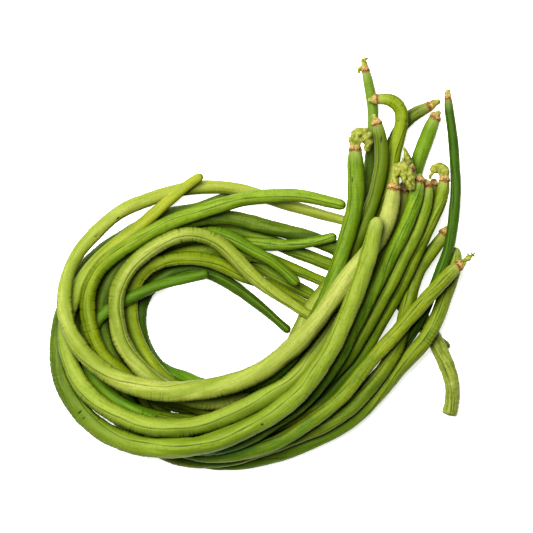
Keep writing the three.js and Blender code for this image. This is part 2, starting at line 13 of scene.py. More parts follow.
# %% Load the solids that everything is built round
import bpy
import numpy as np
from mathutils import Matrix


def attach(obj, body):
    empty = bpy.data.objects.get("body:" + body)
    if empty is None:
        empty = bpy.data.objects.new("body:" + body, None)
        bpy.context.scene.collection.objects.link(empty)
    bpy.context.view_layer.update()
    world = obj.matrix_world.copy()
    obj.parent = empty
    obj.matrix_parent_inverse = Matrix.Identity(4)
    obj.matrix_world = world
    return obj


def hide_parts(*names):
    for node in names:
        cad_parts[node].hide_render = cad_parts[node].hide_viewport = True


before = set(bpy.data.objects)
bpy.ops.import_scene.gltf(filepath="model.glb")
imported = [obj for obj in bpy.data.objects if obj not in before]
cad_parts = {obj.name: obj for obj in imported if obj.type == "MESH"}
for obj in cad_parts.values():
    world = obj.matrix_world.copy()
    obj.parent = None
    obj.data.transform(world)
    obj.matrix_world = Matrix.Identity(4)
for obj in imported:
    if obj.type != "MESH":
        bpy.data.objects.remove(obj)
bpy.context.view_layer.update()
MM = 0.001  # a millimetre in the scene's metres
pods = sorted(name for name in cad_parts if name.startswith("pod"))
stalks = sorted(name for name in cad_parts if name.startswith("stalk"))
print(len(pods), "pods and", len(stalks), "stalks to dress")

# %% [markdown]
# ## The view
#
# The picture was taken from straight above with a long lens, so nothing leans. The camera hangs
# eight metres up, and its lens is as long as it needs to be for the frame to take in what the
# picture does. The picture's scale is a real size too: one step of its grid is 0.6 mm, and that
# holds exactly at the height where most of the pods lie.

# %% The camera
PICTURE_STEPS = 533  # of the picture's grid, along either side
STEP = 0.6  # mm
BUNCH_MIDDLE = (263.5, 264.0)  # where the middle of the bunch is on the picture
CAMERA_HEIGHT = 8000.0  # mm
TRUE_SCALE_AT = 20.0  # mm above the table
SENSOR = 36.0  # mm


def on_picture(x, y):
    """Place in mm, in plan, of a spot of the picture: steps from its left and from its top."""
    return np.array([(x - BUNCH_MIDDLE[0]) * STEP, (BUNCH_MIDDLE[1] - y) * STEP])


camera = bpy.data.objects.new("camera", bpy.data.cameras.new("camera"))
bpy.context.scene.collection.objects.link(camera)
bpy.context.scene.camera = camera
camera.location = (*on_picture(PICTURE_STEPS / 2, PICTURE_STEPS / 2) * MM, CAMERA_HEIGHT * MM)
camera.data.sensor_width = SENSOR
camera.data.lens = SENSOR * (CAMERA_HEIGHT - TRUE_SCALE_AT) / (PICTURE_STEPS * STEP)
print("lens of", round(camera.data.lens), "mm")

# %% [markdown]
# ## Reading a pod's line from its solid
#
# Each solid is a chain of rings with eight corners each, and one corner alone, the pole, at
# either end. Walking over the edges from a pole meets the rings one after another, so the line
# of the pod and its thickness can be read from the solid, and nothing has to be repeated here.
# The stem end is the pole that lies nearer to the place where all stem ends come together.

# %% Rings of a solid
STEMS_AT = on_picture(415, 165)  # about the middle of all the stem ends, in plan
CORNERS = 8  # in a ring
SAME_CORNER = 0.002  # corners are rounded to this, in mm, to see which of them are the same


def corners_and_edges(node):
    """Corners in mm, each once, and the pairs of corners that an edge joins."""
    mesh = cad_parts[node].data
    corners = np.empty(len(mesh.vertices) * 3)
    mesh.vertices.foreach_get("co", corners)
    corners = corners.reshape(-1, 3) / MM
    mesh.calc_loop_triangles()
    triangles = np.empty(len(mesh.loop_triangles) * 3, int)
    mesh.loop_triangles.foreach_get("vertices", triangles)
    _, first, merged = np.unique(
        np.round(corners / SAME_CORNER), axis=0, return_index=True, return_inverse=True
    )
    triangles = merged.ravel()[triangles].reshape(-1, 3)
    edges = np.concatenate([triangles[:, [0, 1]], triangles[:, [1, 2]], triangles[:, [2, 0]]])
    return corners[first], np.unique(np.sort(edges, axis=1), axis=0)


def steps_from(start, count, edges):
    """How many edges each corner is away from the start corner."""
    level = np.full(count, -1)
    level[start] = 0
    for step in range(count):
        at_front = level == step
        reached = np.concatenate([edges[at_front[edges[:, 0]], 1], edges[at_front[edges[:, 1]], 0]])
        reached = reached[level[reached] < 0]
        if len(reached) == 0:
            return level
        level[reached] = step + 1


def rings_of(node, stem_end):
    """Middles and radii of a solid's rings in mm, from the pole nearer to a place, stem_end, on."""
    points, edges = corners_and_edges(node)
    joined = np.bincount(edges.ravel(), minlength=len(points))
    found = []
    for start in np.flatnonzero(joined == CORNERS):
        level = steps_from(start, len(points), edges)
        in_ring = np.bincount(level)
        if in_ring[-1] == 1 and np.all(in_ring[1:-1] == CORNERS):
            found.append((np.linalg.norm(points[start][: len(stem_end)] - stem_end), level))
    level = min(found, key=lambda pole: pole[0])[1]
    rings = [points[level == k] for k in range(level.max() + 1)]
    middles = np.array([ring.mean(axis=0) for ring in rings])
    radii = [np.linalg.norm(ring - ring.mean(axis=0), axis=1).mean() for ring in rings]
    return middles, np.array(radii)


pod_rings = {name: rings_of(name, STEMS_AT) for name in pods}
lengths = [np.linalg.norm(np.diff(m, axis=0), axis=1).sum() for m, r in pod_rings.values()]
print("pods from", round(min(lengths)), "to", round(max(lengths)), "mm long")

# %% [markdown]
# ## A smooth line through the rings
#
# A pod bends evenly, so the rings' middles are joined by a curve that passes through each of
# them in the direction of its neighbours. A light averaging along it takes out the last kinks.
# Across the line go two directions: one level, to the right of the way the pod runs, and one
# upwards. A direction round the pod is then an angle from the top, towards the right.

# %% Curve and directions
ROW_STEP = 0.5  # from one row of a pod's skin to the next, in mm
LINE_EVENED = 4.3  # width in mm of the bell curve that evens a pod's line


def distances(points):
    """Length of the chain of points from its start to each of them."""
    return np.concatenate([[0], np.cumsum(np.linalg.norm(np.diff(points, axis=0), axis=1))])


def through(points, step):
    """Points about a step apart on a smooth curve through the given ones, and their distances.

    Between two points it blends their places and their directions with the cubic Hermite weights."""
    chord = distances(points)
    heading = np.gradient(points, chord, axis=0)
    at = np.linspace(0, chord[-1], int(chord[-1] / step) + 2)
    k = np.clip(np.searchsorted(chord, at, side="right") - 1, 0, len(chord) - 2)
    span = (chord[k + 1] - chord[k])[:, None]
    t = ((at - chord[k]) / span[:, 0])[:, None]
    placed = (
        (2 * t**3 - 3 * t**2 + 1) * points[k]
        + (t**3 - 2 * t**2 + t) * span * heading[k]
        + (3 * t**2 - 2 * t**3) * points[k + 1]
        + (t**3 - t**2) * span * heading[k + 1]
    )
    return placed, at


def evened(values, reach):
    """Each row averaged with its neighbours, by a bell curve that is reach rows wide; ends stay."""
    side = int(3 * reach)
    weights = np.exp(-0.5 * (np.arange(-side, side + 1) / reach) ** 2)
    weights /= weights.sum()
    ends = np.linspace(values[0], values[-1], len(values))
    padded = np.pad(values - ends, ((side, side), (0, 0)), mode="reflect", reflect_type="odd")
    columns = [np.convolve(column, weights, mode="valid") for column in padded.T]
    return np.stack(columns, axis=1) + ends


def directions(line):
    """Headings along a line, and the level and upward directions across it, a row for each point."""
    heading = np.gradient(line, axis=0)
    heading /= np.linalg.norm(heading, axis=1)[:, None]
    right = np.cross(heading, [0, 0, 1])
    right /= np.linalg.norm(right, axis=1)[:, None]
    return heading, right, np.cross(right, heading)


def outward(right, up, angle):
    """Directions away from a line: right * sin(angle) + up * cos(angle)."""
    return right[:, None] * np.sin(angle)[..., None] + up[:, None] * np.cos(angle)[..., None]


def waver(at, longest, amount, luck):
    """A slow random line: amount / 1.6 times the sum of five sines, each 0.4 to 1 high.

    Their wavelengths go from longest down to a third of it."""
    waves = longest / np.linspace(1, 3, 5)[:, None]
    phase = luck.uniform(0, 2 * np.pi, (5, 1))
    size = luck.uniform(0.4, 1, (5, 1))
    return amount * (size * np.sin(2 * np.pi * at / waves + phase)).sum(axis=0) / 1.6


pod_lines = {}
for name in pods:
    line, at = through(pod_rings[name][0], ROW_STEP)
    pod_lines[name] = evened(line, LINE_EVENED / ROW_STEP), at
print("points on the lines:", sum(len(at) for line, at in pod_lines.values()))

# %% [markdown]
# ## From arrays to a mesh
#
# A skin is a grid: one row for each place along the line, one column for each direction round
# it, and one corner alone at either end. The faces only depend on how many rows and columns
# there are. What the finish needs to know about each corner goes along as attributes.

# %% Closed skin from a grid
def with_poles(values, first, last):
    """Values for the grid's inner rows in one list, with those of the two poles after them."""
    inner = values[1:-1]
    if values.ndim == 3:
        return np.concatenate([inner.reshape(-1, 3), [first], [last]])
    return np.concatenate([inner.ravel(), [first], [last]])


def straightened(at, out, angle):
    """Where each corner would be on a straight pod: (at, out * cos(angle), out * sin(angle))."""
    return np.stack(np.broadcast_arrays(at[:, None], out * np.cos(angle), out * np.sin(angle)), -1)


def closed_skin(name, grid, marks):
    """A closed mesh from a grid of places in mm. Its first and its last row shrink to one corner.

    marks holds named values for each corner: the grid's inner rows, then the two poles."""
    inner = grid[1:-1]
    rows, columns, _ = inner.shape
    corner = np.arange(rows * columns).reshape(rows, columns)
    beside = np.roll(corner, -1, axis=1)
    sides = np.stack([corner[:-1], corner[1:], beside[1:], beside[:-1]], axis=-1).reshape(-1, 4)
    start, end = rows * columns, rows * columns + 1
    opening = np.stack([np.full(columns, start), corner[0], beside[0]], axis=-1)
    closing = np.stack([np.full(columns, end), beside[-1], corner[-1]], axis=-1)
    places = with_poles(grid, grid[0].mean(axis=0), grid[-1].mean(axis=0)) * MM
    mesh = bpy.data.meshes.new(name)
    mesh.vertices.add(len(places))
    mesh.vertices.foreach_set("co", places.ravel())
    loops = np.concatenate([sides.ravel(), opening.ravel(), closing.ravel()])
    sizes = np.concatenate([np.full(len(sides), 4), np.full(2 * columns, 3)])
    mesh.loops.add(len(loops))
    mesh.loops.foreach_set("vertex_index", loops)
    mesh.polygons.add(len(sizes))
    mesh.polygons.foreach_set("loop_start", np.concatenate([[0], np.cumsum(sizes)[:-1]]))
    mesh.update(calc_edges=True)
    for mark, values in marks.items():
        if values.ndim == 2:
            layer = mesh.attributes.new(mark, "FLOAT_VECTOR", "POINT")
            layer.data.foreach_set("vector", values.astype(np.float32).ravel())
        else:
            layer = mesh.attributes.new(mark, "FLOAT", "POINT")
            layer.data.foreach_set("value", values.astype(np.float32))
    mesh.shade_smooth()
    piece = bpy.data.objects.new(name, mesh)
    bpy.context.scene.collection.objects.link(piece)
    return piece


print("ready to turn", len(pods) + len(stalks), "grids into skins")

# %% [markdown]
# ## The girth of a pod
#
# A fresh pod is nearly round, as thick as its solid says, and it closes with a short round tip.
# Under the collar of its stalk it is a little drawn in. A curve object with a bevel would make a
# tube like that, but with the same plain section all along, so the skin is worked out corner by
# corner instead. Its radius comes first. Here, as in all of the cells on pods, lengths are in mm.

# %% The radius along a pod
SKIN_GROWS = 0.4  # the round skin stands a little off the flats of its eight-sided solid
GIRTH_EVENED = 1.4  # width of the bell curve that evens the girth
NECK_SHARE, NECK_LENGTH = 0.6, 2.0  # under the collar a pod starts with this share of its radius
BROKEN_END = 4.5  # length of the blunt stem end of a pod without a stalk
TIP_SHARE = 1.5  # length of the round tip, as a share of the radius there
BLUNT_TIPS = {"pod_09": 1.6}  # length of the tip where a pod ends blunt


def cap(at, length):
    """Share of the full radius near an end that closes like an ellipse: sqrt(1 - (1 - at/length)^2)."""
    return np.sqrt(1 - (1 - np.clip(at / length, 0, 1)) ** 2)


def pod_radius(name, at):
    """Radius along a pod: (its solid's radius + SKIN_GROWS) * stem end * tip.

    The solid's rings next to the poles are left out, since they belong to its closed ends."""
    middles, radii = pod_rings[name]
    chord = distances(middles)
    chord *= at[-1] / chord[-1]
    body = np.interp(at, chord[2:-3], radii[2:-3] + SKIN_GROWS)
    body = evened(body[:, None], GIRTH_EVENED / ROW_STEP)[:, 0]
    if name.replace("pod", "stalk") in stalks:
        stem = NECK_SHARE + (1 - NECK_SHARE) * cap(at, NECK_LENGTH)
    else:
        stem = cap(at, BROKEN_END)
    tip = cap(at[-1] - at, BLUNT_TIPS.get(name, TIP_SHARE * radii[-4]))
    return body * tip * stem


widest = max(pod_radius(name, pod_lines[name][1]).max() for name in pods)
print("the thickest pod is", round(2 * widest, 1), "mm across")

# %% [markdown]
# ## Two seams
#
# A pod has two seams, on opposite sides. The main one is a thin groove with a raised lip beside
# it, the far one is fainter, and both wander round the pod as it twists. They are real relief,
# since a bump would be lost wherever a seam runs along the outline. The columns of the grid ride
# with the main seam and stand closer together there, so that a groove less than a millimetre wide
# has corners of its own.

# %% Where the seams run, and how they stand out
SEAM_EVENED = 18.0  # width of the bell curve that evens a seam's course
GROOVE_DEPTH, GROOVE_WIDTH = 0.24, 0.35
LIP_HEIGHT, LIP_WIDTH, LIP_AWAY = 0.14, 0.45, 0.85
FAR_GROOVE_DEPTH = 0.1

# Angles round the pod from the main seam on, in radians: close together at the seam
HALF_TURN = np.array([0, 0.06, 0.12, 0.19, 0.28, 0.42, 0.6, 0.8, 1.02, 1.25, 1.48, 1.71, 1.94,
                      2.17, 2.4, 2.63, 2.82, 2.95, 3.05])
AROUND = np.concatenate([HALF_TURN, [np.pi], 2 * np.pi - HALF_TURN[:0:-1]])

# Degrees of the main seam from the top, towards the inner side of the loop, at shares of the
# length. Pods that aren't listed get a slow turn of their own.
SEAMS = {
    "pod_06": [(0, 120), (0.2, 100), (0.34, 80), (0.41, 30), (0.47, -20), (0.53, -70), (0.7, -110),
               (1, -150)],
    "pod_07": [(0, 60), (0.2, 30), (0.35, 5), (0.45, -5), (0.55, -10), (0.7, -60), (1, -90)],
    "pod_05": [(0, 70), (0.2, 30), (0.35, 0), (0.45, 10), (0.6, 40), (1, 90)],
    "pod_02": [(0, 140), (0.5, 60), (0.62, 40), (0.7, 20), (0.8, 10), (1, 40)],
    "pod_04": [(0, -60), (0.06, -30), (0.12, -20), (0.3, 30), (0.7, 60), (0.85, 10), (1, 0)],
    "pod_03": [(0, 20), (0.3, 60), (0.55, -40), (0.75, -20), (1, 20)],
    "pod_12": [(0, 40), (0.12, 15), (0.25, 10), (0.5, 80), (1, 20)],
    "pod_14": [(0, -40), (0.08, -15), (0.25, 20), (0.6, 60), (1, 10)],
    "pod_17": [(0, 10), (0.15, 25), (0.4, 50), (0.8, 10), (1, -10)],
}


def seam_angle(name, at, luck):
    """Angle of the main seam from the top, in radians: from SEAMS, or a slow turn of its own."""
    if name in SEAMS:
        shares, degrees = np.array(SEAMS[name]).T
        seam = np.interp(at / at[-1], shares, np.radians(degrees))
        return evened(seam[:, None], SEAM_EVENED / ROW_STEP)[:, 0] + waver(at, 90, 0.08, luck)
    return luck.uniform(-1.2, 1.6) + waver(at, 420, 1.1, luck)


def seam_relief(at, beside, far, luck):
    """How far the lip stands out and the two grooves go in, in mm.

    Each is a bell curve across the pod, height * exp(-(distance / width)^2). The main seam and
    its lip are plainer in some stretches than in others."""
    plain = np.clip(0.65 + waver(at, 60, 0.5, luck), 0.1, 1)[:, None]
    lift = -GROOVE_DEPTH * plain * np.exp(-((beside / GROOVE_WIDTH) ** 2))
    lift = lift + LIP_HEIGHT * plain * np.exp(-(((beside - LIP_AWAY) / LIP_WIDTH) ** 2))
    return lift - FAR_GROOVE_DEPTH * np.exp(-((far / GROOVE_WIDTH) ** 2))


print(len(AROUND), "columns round a pod,", len(SEAMS), "seams with a course of their own")

# %% [markdown]
# ## Seeds and unevenness
#
# The seeds swell the flanks of a pod a little, one after another. Besides, no pod is quite round:
# it has soft ridges, and every few centimetres it is a little thicker or thinner. Sums of a few
# sines give that without a pattern that the eye could follow, and cost nothing to work out.

# %% How seeds and unevenness change the radius
SEED_SPACING, SEED_SWELL = 13.0, 0.03  # the swelling is a share of the radius
MEAN_SWELL = 0.4  # what the seeds add on average is taken off again

# Unevenness: its longest wave in mm, how much of the radius it wavers by, what of it is always
# there, how many ridges it has round the pod, and the angle that they are turned by
UNEVENNESS = [
    (75, 0.022, 0, 0, 0),
    (19, 0.009, 0, 0, 0),
    (110, -0.03, -0.03, 2, 0),
    (60, 0.02, 0.02, 3, 1 - np.pi / 2),
    (45, 0.012, 0, 5, 0),
]


def swelling(at, luck):
    """Radius as a share of an even pod's: 1 + SEED_SWELL * seeds + unevenness.

    A seed swells the pod by cos(pi * at / SEED_SPACING)^2, some more than others, and most on
    the flanks, halfway between the seams."""
    seeds = luck.uniform(0.3, 1.0, len(at))
    seeds = evened(seeds[:, None], SEED_SPACING / ROW_STEP)[:, 0]
    swell = np.cos(np.pi * (at + waver(at, 70, 3, luck)) / SEED_SPACING) ** 2
    flank = 0.45 + 0.55 * np.sin(AROUND) ** 2
    share = 1 + SEED_SWELL * (swell * seeds)[:, None] * flank - SEED_SWELL * MEAN_SWELL
    for longest, amount, steady, ridges, turn in UNEVENNESS:
        uneven = (steady + waver(at, longest, amount, luck))[:, None]
        share = share + uneven * np.cos(ridges * AROUND + turn)
    return share


print("a seed every", SEED_SPACING, "mm, and", len(UNEVENNESS), "kinds of unevenness")

# %% [markdown]
# ## Creases
#
# Where a pod is bent, its skin folds into short and narrow creases that run across it. They stand
# in rows, on the sides that the bend has squeezed or stretched. The curvature of the line says
# where that is, so most of them come by themselves, and a list adds the rows that show most. The
# finish darkens the folds with painted shade.

# %% Where the skin is creased
CREASE_SPACING, CREASE_DEPTH = 2.0, 0.4
CREASE_REACH = 0.75  # radians to either side of where a row of creases is strongest
CREASE_ENDS = 0.03  # share of a pod's length over which such a row begins and ends
BEND_EVENED = 5.0  # width of the bell curve that evens the bend
BEND_THAT_CREASES = 0.045  # radius of the pod / radius of its bend

# Stretches with rows of creases: from and to a share of the length, degrees from the top
# towards the inner side, and how deep.
CREASED = {
    "pod_06": [(0.26, 0.4, -85, 1.0), (0.46, 0.7, 80, 0.9)],
    "pod_07": [(0.38, 0.6, -80, 1.0), (0.62, 0.85, 70, 0.5)],
    "pod_03": [(0.57, 0.75, 75, 0.9), (0.1, 0.2, 60, 0.4)],
    "pod_02": [(0.57, 0.8, 75, 0.9)],
    "pod_05": [(0.3, 0.42, -80, 0.5), (0.08, 0.2, 70, 0.5)],
    "pod_04": [(0.7, 0.85, 60, 0.6)],
}


def squeezed(heading, across, radius):
    """How hard the bend squeezes each spot: the curvature towards it * radius."""
    bend = np.gradient(evened(heading, BEND_EVENED / ROW_STEP), axis=0) / ROW_STEP
    return (bend[:, None] * across).sum(axis=-1) * radius[:, None]


def creases(name, at, angle, squeeze, luck):
    """How deep in a crease each spot is, from 0 to 1: strength * lasting * fold.

    The strength is |squeeze| / BEND_THAT_CREASES - 1, or what CREASED says if that is more. Folds
    lie CREASE_SPACING apart on average, and lean one way or the other round the pod. They last as
    a random line along the pod rises and falls."""
    strength = np.clip(np.abs(squeeze) / BEND_THAT_CREASES - 1, 0, 0.8)
    share = at / at[-1]
    for start, end, degrees, deep in CREASED.get(name, []):
        begun = np.clip((share - start) / CREASE_ENDS, 0, 1)
        there = begun * np.clip((end - share) / CREASE_ENDS, 0, 1)
        away = np.mod(angle - np.radians(degrees) + np.pi, 2 * np.pi) - np.pi
        near = np.exp(-((away / CREASE_REACH) ** 2))
        strength = np.maximum(strength, deep * there[:, None] * near)
    folds = at + waver(at, 23, 0.9, luck) + waver(at, 7, 0.25, luck)
    lean = waver(at, 30, 0.8, luck)[:, None] * np.sin(angle) + 0.5 * np.sin(2 * angle + 1)
    wave = np.cos(2 * np.pi * folds[:, None] / CREASE_SPACING + lean)
    lasting = np.clip(0.65 + waver(at, 17, 0.6, luck), 0.25, 1)[:, None]
    fold = np.clip((wave + 0.2) / 1.2, 0, 1)
    return strength * lasting * fold


print(sum(len(rows) for rows in CREASED.values()), "rows of creases besides those of the bends")

# %% [markdown]
# ## Scars
#
# A few dark scars lie where something rubbed or pricked a pod as it grew. Each is an oval dent,
# too small to be worth a piece of its own: a bell curve on the grid, turned as the scar lies. How
# deep in it a corner is goes along with the skin, so that the finish can darken it.

# %% Where the scars are
SCAR_DEPTH = 0.3

# Scars: pod, place on the picture, degrees that the scar is turned, its length and width in mm
SCARS = [
    ("pod_05", 55, 335, 80, 3.0, 1.0),
    ("pod_05", 80, 412, 40, 3.4, 1.1),
    ("pod_05", 84, 418, 30, 2.4, 0.8),
    ("pod_07", 323, 353, 20, 2.6, 0.8),
    ("pod_07", 305, 376, -15, 3.6, 0.9),
    ("pod_07", 301, 383, 25, 2.6, 0.7),
    ("pod_07", 292, 391, 10, 2.2, 0.8),
    ("pod_06", 118, 218, 35, 2.6, 0.8),
    ("pod_06", 96, 236, 50, 1.6, 0.6),
    ("pod_05", 262, 424, 20, 2.0, 0.6),
    ("pod_03", 381, 140, 90, 5.0, 1.0),
    ("pod_01", 352, 180, 90, 3.2, 0.7),
]

# One scar is dry and pale instead, and isn't a dent
PALE_SCAR_POD, PALE_SCAR_AT, PALE_SCAR_REACH = "pod_09", (452, 384), 2.2


def scars_on(name, grid, up_share):
    """How deep in a scar each corner lies, on the upper side of a pod only.

    It is exp(-(2 * along / length)^2 - (2 * across / width)^2), added up over the scars."""
    depth = np.zeros(grid.shape[:2])
    for pod, x, y, degrees, long, wide in SCARS:
        if pod == name:
            away = grid[..., :2] - on_picture(x, y)
            turn = np.radians(degrees)
            along = away[..., 0] * np.cos(turn) + away[..., 1] * np.sin(turn)
            across = away[..., 1] * np.cos(turn) - away[..., 0] * np.sin(turn)
            depth += np.exp(-((2 * along / long) ** 2) - (2 * across / wide) ** 2)
    return depth * np.clip(2 * up_share, 0, 1)


def pale_scar_on(name, grid):
    """How near to the pale scar each corner lies: exp(-(distance / PALE_SCAR_REACH)^2)."""
    away = np.linalg.norm(grid[..., :2] - on_picture(*PALE_SCAR_AT), axis=-1)
    return np.exp(-(away / PALE_SCAR_REACH) ** 2) * (name == PALE_SCAR_POD)


print(len(SCARS), "dark scars and a pale one")

# %% [markdown]
# ## The skin of a pod
#
# Everything so far is added up here, for all corners of a pod at once: the line, the directions
# away from it, the radius, the swelling, the seams, the creases and the scars. What would reach
# below the table is pressed flat on it.

# %% The skins of all pods
FADES_WITHIN = 12.0  # seams and creases fade towards both ends of a pod
FULL_RELIEF_FROM = 2.0  # they are weaker where the radius is less than this
THINNEST = 0.02  # a skin never comes nearer to its line than this
FAR_AWAY = 9.0  # a distance at which no seam and no collar has an effect on the finish


def pod_skin(name):
    """A pod as a grid: rows along its line, columns round it from the main seam on.

    A corner lies radius * swelling + seam relief - creases - scars from the line."""
    luck = np.random.default_rng(int(name[-2:]))
    line, at = pod_lines[name]
    heading, right, up = directions(line)
    length = at[-1]
    radius = pod_radius(name, at)
    angle = seam_angle(name, at, luck)[:, None] + AROUND[None, :]
    across = outward(right, up, angle)

    fading = np.clip(np.minimum(at, length - at) / FADES_WITHIN, 0, 1)[:, None]
    crease = creases(name, at, angle, squeezed(heading, across, radius), luck) * fading

    # Arc length from the main seam, positive on the side where the lip is, and from the far seam
    beside = radius[:, None] * (np.mod(AROUND + np.pi, 2 * np.pi) - np.pi)[None, :]
    far = radius[:, None] * (AROUND - np.pi)[None, :]
    share = swelling(at, luck)
    lift = seam_relief(at, beside, far, luck) * fading - CREASE_DEPTH * crease
    out = radius[:, None] * share + lift * np.clip(radius / FULL_RELIEF_FROM, 0, 1)[:, None]
    grid = line[:, None] + across * np.maximum(out, THINNEST)[..., None]
    scar = scars_on(name, grid, across[..., 2])
    grid = grid - across * (SCAR_DEPTH * scar)[..., None]
    pale = pale_scar_on(name, grid)
    grid[..., 2] = np.maximum(grid[..., 2], 0)

    to_tip = np.broadcast_to((length - at)[:, None], beside.shape)
    marks = {
        "straight": with_poles(straightened(at, out, AROUND), [0, 0, 0], [length, 0, 0]),
        "beside_seam": with_poles(beside, FAR_AWAY, FAR_AWAY),
        "crease": with_poles(crease, 0, 0),
        "scar": with_poles(scar, 0, 0),
        "pale_scar": with_poles(pale, 0, 0),
        "to_tip": with_poles(to_tip, length, 0),
    }
    return closed_skin(f"{name}_skin", grid, marks)


skins = {name: pod_skin(name) for name in pods}
for name, piece in skins.items():
    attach(piece, "root")
    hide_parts(name)
print("triangles in the pods:", sum(2 * len(p.data.polygons) for p in skins.values()))

# %% [markdown]
# ## The stalk end
#
# Where a pod was broken off, a stump of its stalk stays on: a fleshy, pale neck, often curled
# over and knobbly, that widens to a corky collar where it meets the pod. The collar reaches a
# little over the pod's end, and its edge is torn. A fainter rim lies above it. Sculpting would
# give livelier stumps, but each would be a shape of its own with no rule behind it. So they are
# made as the pods are, from the lines of their solids, and a smooth random field gives the knobs.

# %% Knobs and lumps
# Thickness along a stalk, from its free end to the pod, as shares of its length and its radius
KNOBS = {
    "stalk_01": [(0, 0.7), (0.18, 1.1), (0.36, 1.9), (0.6, 2.2), (0.8, 1.6), (1, 1.0)],
    "stalk_02": [(0, 0.9), (0.5, 1.1), (1, 1.2)],
    "stalk_06": [(0, 0.9), (0.15, 1.3), (0.38, 1.9), (0.58, 1.9), (0.74, 1.2), (1, 1.0)],
    "stalk_08": [(0, 0.3), (0.3, 0.85), (0.6, 1.15), (1, 1.1)],
    "stalk_09": [(0, 0.8), (0.5, 1.25), (1, 1.0)],
    "stalk_14": [(0, 1.3), (0.3, 1.8), (0.6, 1.9), (1, 1.1)],
    "stalk_17": [(0, 0.25), (0.25, 0.4), (0.42, 0.95), (0.55, 0.7), (0.7, 1.05), (1, 1.1)],
}


def lumps(places, size, luck):
    """A knobbly field in space, about from -1 to 1: 1.8 * the mean of eight sines.

    Each runs in a random direction, with a wavelength near to size."""
    waves = luck.normal(size=(3, 8))
    waves *= 2 * np.pi / size / np.linalg.norm(waves, axis=0) * luck.uniform(0.7, 1.6, 8)
    return np.sin(places @ waves + luck.uniform(0, 2 * np.pi, 8)).mean(axis=-1) * 1.8


print(len(KNOBS), "stalk ends with knobs of their own")

# %% The skin of a stalk end
STALK_STEP = 0.25  # from one row of a stalk end's skin to the next, in mm
STALK_COLUMNS = np.linspace(0, 2 * np.pi, 32, endpoint=False)
STALK_LINE_EVENED = 0.9  # width in mm of the bell curve that evens a stalk's line
OVER_POD = 1.2  # how far the collar reaches over the pod's end, in mm
COLLAR_GROWS = 0.35  # how far it stands off its solid, in mm
COLLAR_STARTS, COLLAR_WIDENS_OVER = 3.6, 3.0  # mm from the pod's end

# The collar's torn edge and the rim above it are bell curves: mm from the pod's end, and width
EDGE_AT, EDGE_WIDTH = -0.3, 0.7
RIM_AT, RIM_WIDTH = 3.0, 0.5
EDGE_BULGE, RIM_BULGE = 0.09, 0.06  # shares of the radius
EDGE_TORN = 0.8  # how far the torn edge reaches along the stalk, in mm
CLOSED_SHARE = 0.55  # inside the pod the collar closes to this share of its radius


def stalk_skin(name):
    """A stalk end as a grid: radius = neck * (1 - widening) + collar * widening, with lumps.

    Its line runs from the free end to a place inside the pod."""
    luck = np.random.default_rng(100 + int(name[-2:]))
    pod_middles, _ = pod_rings[name.replace("stalk", "pod")]
    middles, radii = rings_of(name, pod_middles[0])
    middles, radii = middles[::-1], radii[::-1]
    into_pod = pod_middles[3] - pod_middles[0]
    into_pod /= np.linalg.norm(into_pod)

    # The solid's last rings close it inside the pod. The line skips some of them, and goes on to
    # where the collar ends.
    middles = np.concatenate([middles[:-5], [middles[-3], pod_middles[0] + OVER_POD * into_pod]])
    line, at = through(middles, STALK_STEP)
    line = evened(line, STALK_LINE_EVENED / STALK_STEP)
    heading, right, up = directions(line)
    length = at[-1]
    from_pod = length - at - OVER_POD
    collar = radii.max() + COLLAR_GROWS
    shares, sizes = np.array(KNOBS.get(name, [(0, 0.85), (0.5, 1), (1, 1)])).T
    neck = radii[2] * np.interp(at / length, shares, sizes) * cap(at, 1.2)
    widening = np.clip((COLLAR_STARTS - from_pod) / COLLAR_WIDENS_OVER, 0, 1)
    widening = widening * widening * (3 - 2 * widening)
    closing = CLOSED_SHARE + (1 - CLOSED_SHARE) * cap(length - at, 1.0)
    radius = (neck * (1 - widening) + collar * widening) * closing
    angle = STALK_COLUMNS[None, :]
    across = outward(right, up, angle)
    smooth = line[:, None] + across * radius[:, None, None]

    # Lumps of about 5 and 2 mm, the torn edge with five and eleven teeth, and the rim above it
    knobbly = 0.2 * lumps(smooth, 5.5, luck) + 0.05 * lumps(smooth, 2.2, luck)
    edge = np.exp(-(((from_pod - EDGE_AT) / EDGE_WIDTH) ** 2))[:, None]
    rim = np.exp(-(((from_pod - RIM_AT) / RIM_WIDTH) ** 2))[:, None]
    torn = 0.5 * np.sin(5 * angle + luck.uniform(0, 6)) + 0.5 * np.sin(11 * angle + luck.uniform(0, 6))
    relative = 1 + knobbly * (1 - 0.6 * edge)
    relative = relative + EDGE_BULGE * edge * (0.6 + torn) + RIM_BULGE * rim * torn
    out = radius[:, None] * relative
    grid = line[:, None] + across * np.maximum(out, THINNEST)[..., None]
    open_edge = (at < length - 0.3)[:, None, None]
    grid = grid + heading[:, None] * (EDGE_TORN * edge * torn)[..., None] * open_edge
    grid[..., 2] = np.maximum(grid[..., 2], 0)
    marks = {
        "straight": with_poles(straightened(at, out, angle), [0, 0, 0], [length, 0, 0]),
        "from_pod": with_poles(np.broadcast_to(from_pod[:, None], out.shape), length, -OVER_POD),
    }
    return closed_skin(f"{name}_skin", grid, marks)


stumps = {name: stalk_skin(name) for name in stalks}
for name, piece in stumps.items():
    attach(piece, "root")
    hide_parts(name)
print("triangles in the stalk ends:", sum(2 * len(p.data.polygons) for p in stumps.values()))

# %% [markdown]
# ## Twigs, buds and scales
#
# A few stumps carry more: the withered flower stand at the right with its short branches, a bud
# beside the topmost stump, and the scales round the pointed one. They are thinner than a
# millimetre in places, too fine for the solids. Each is a short knobbly tube through three
# places, which is all that shows of them from a step away.

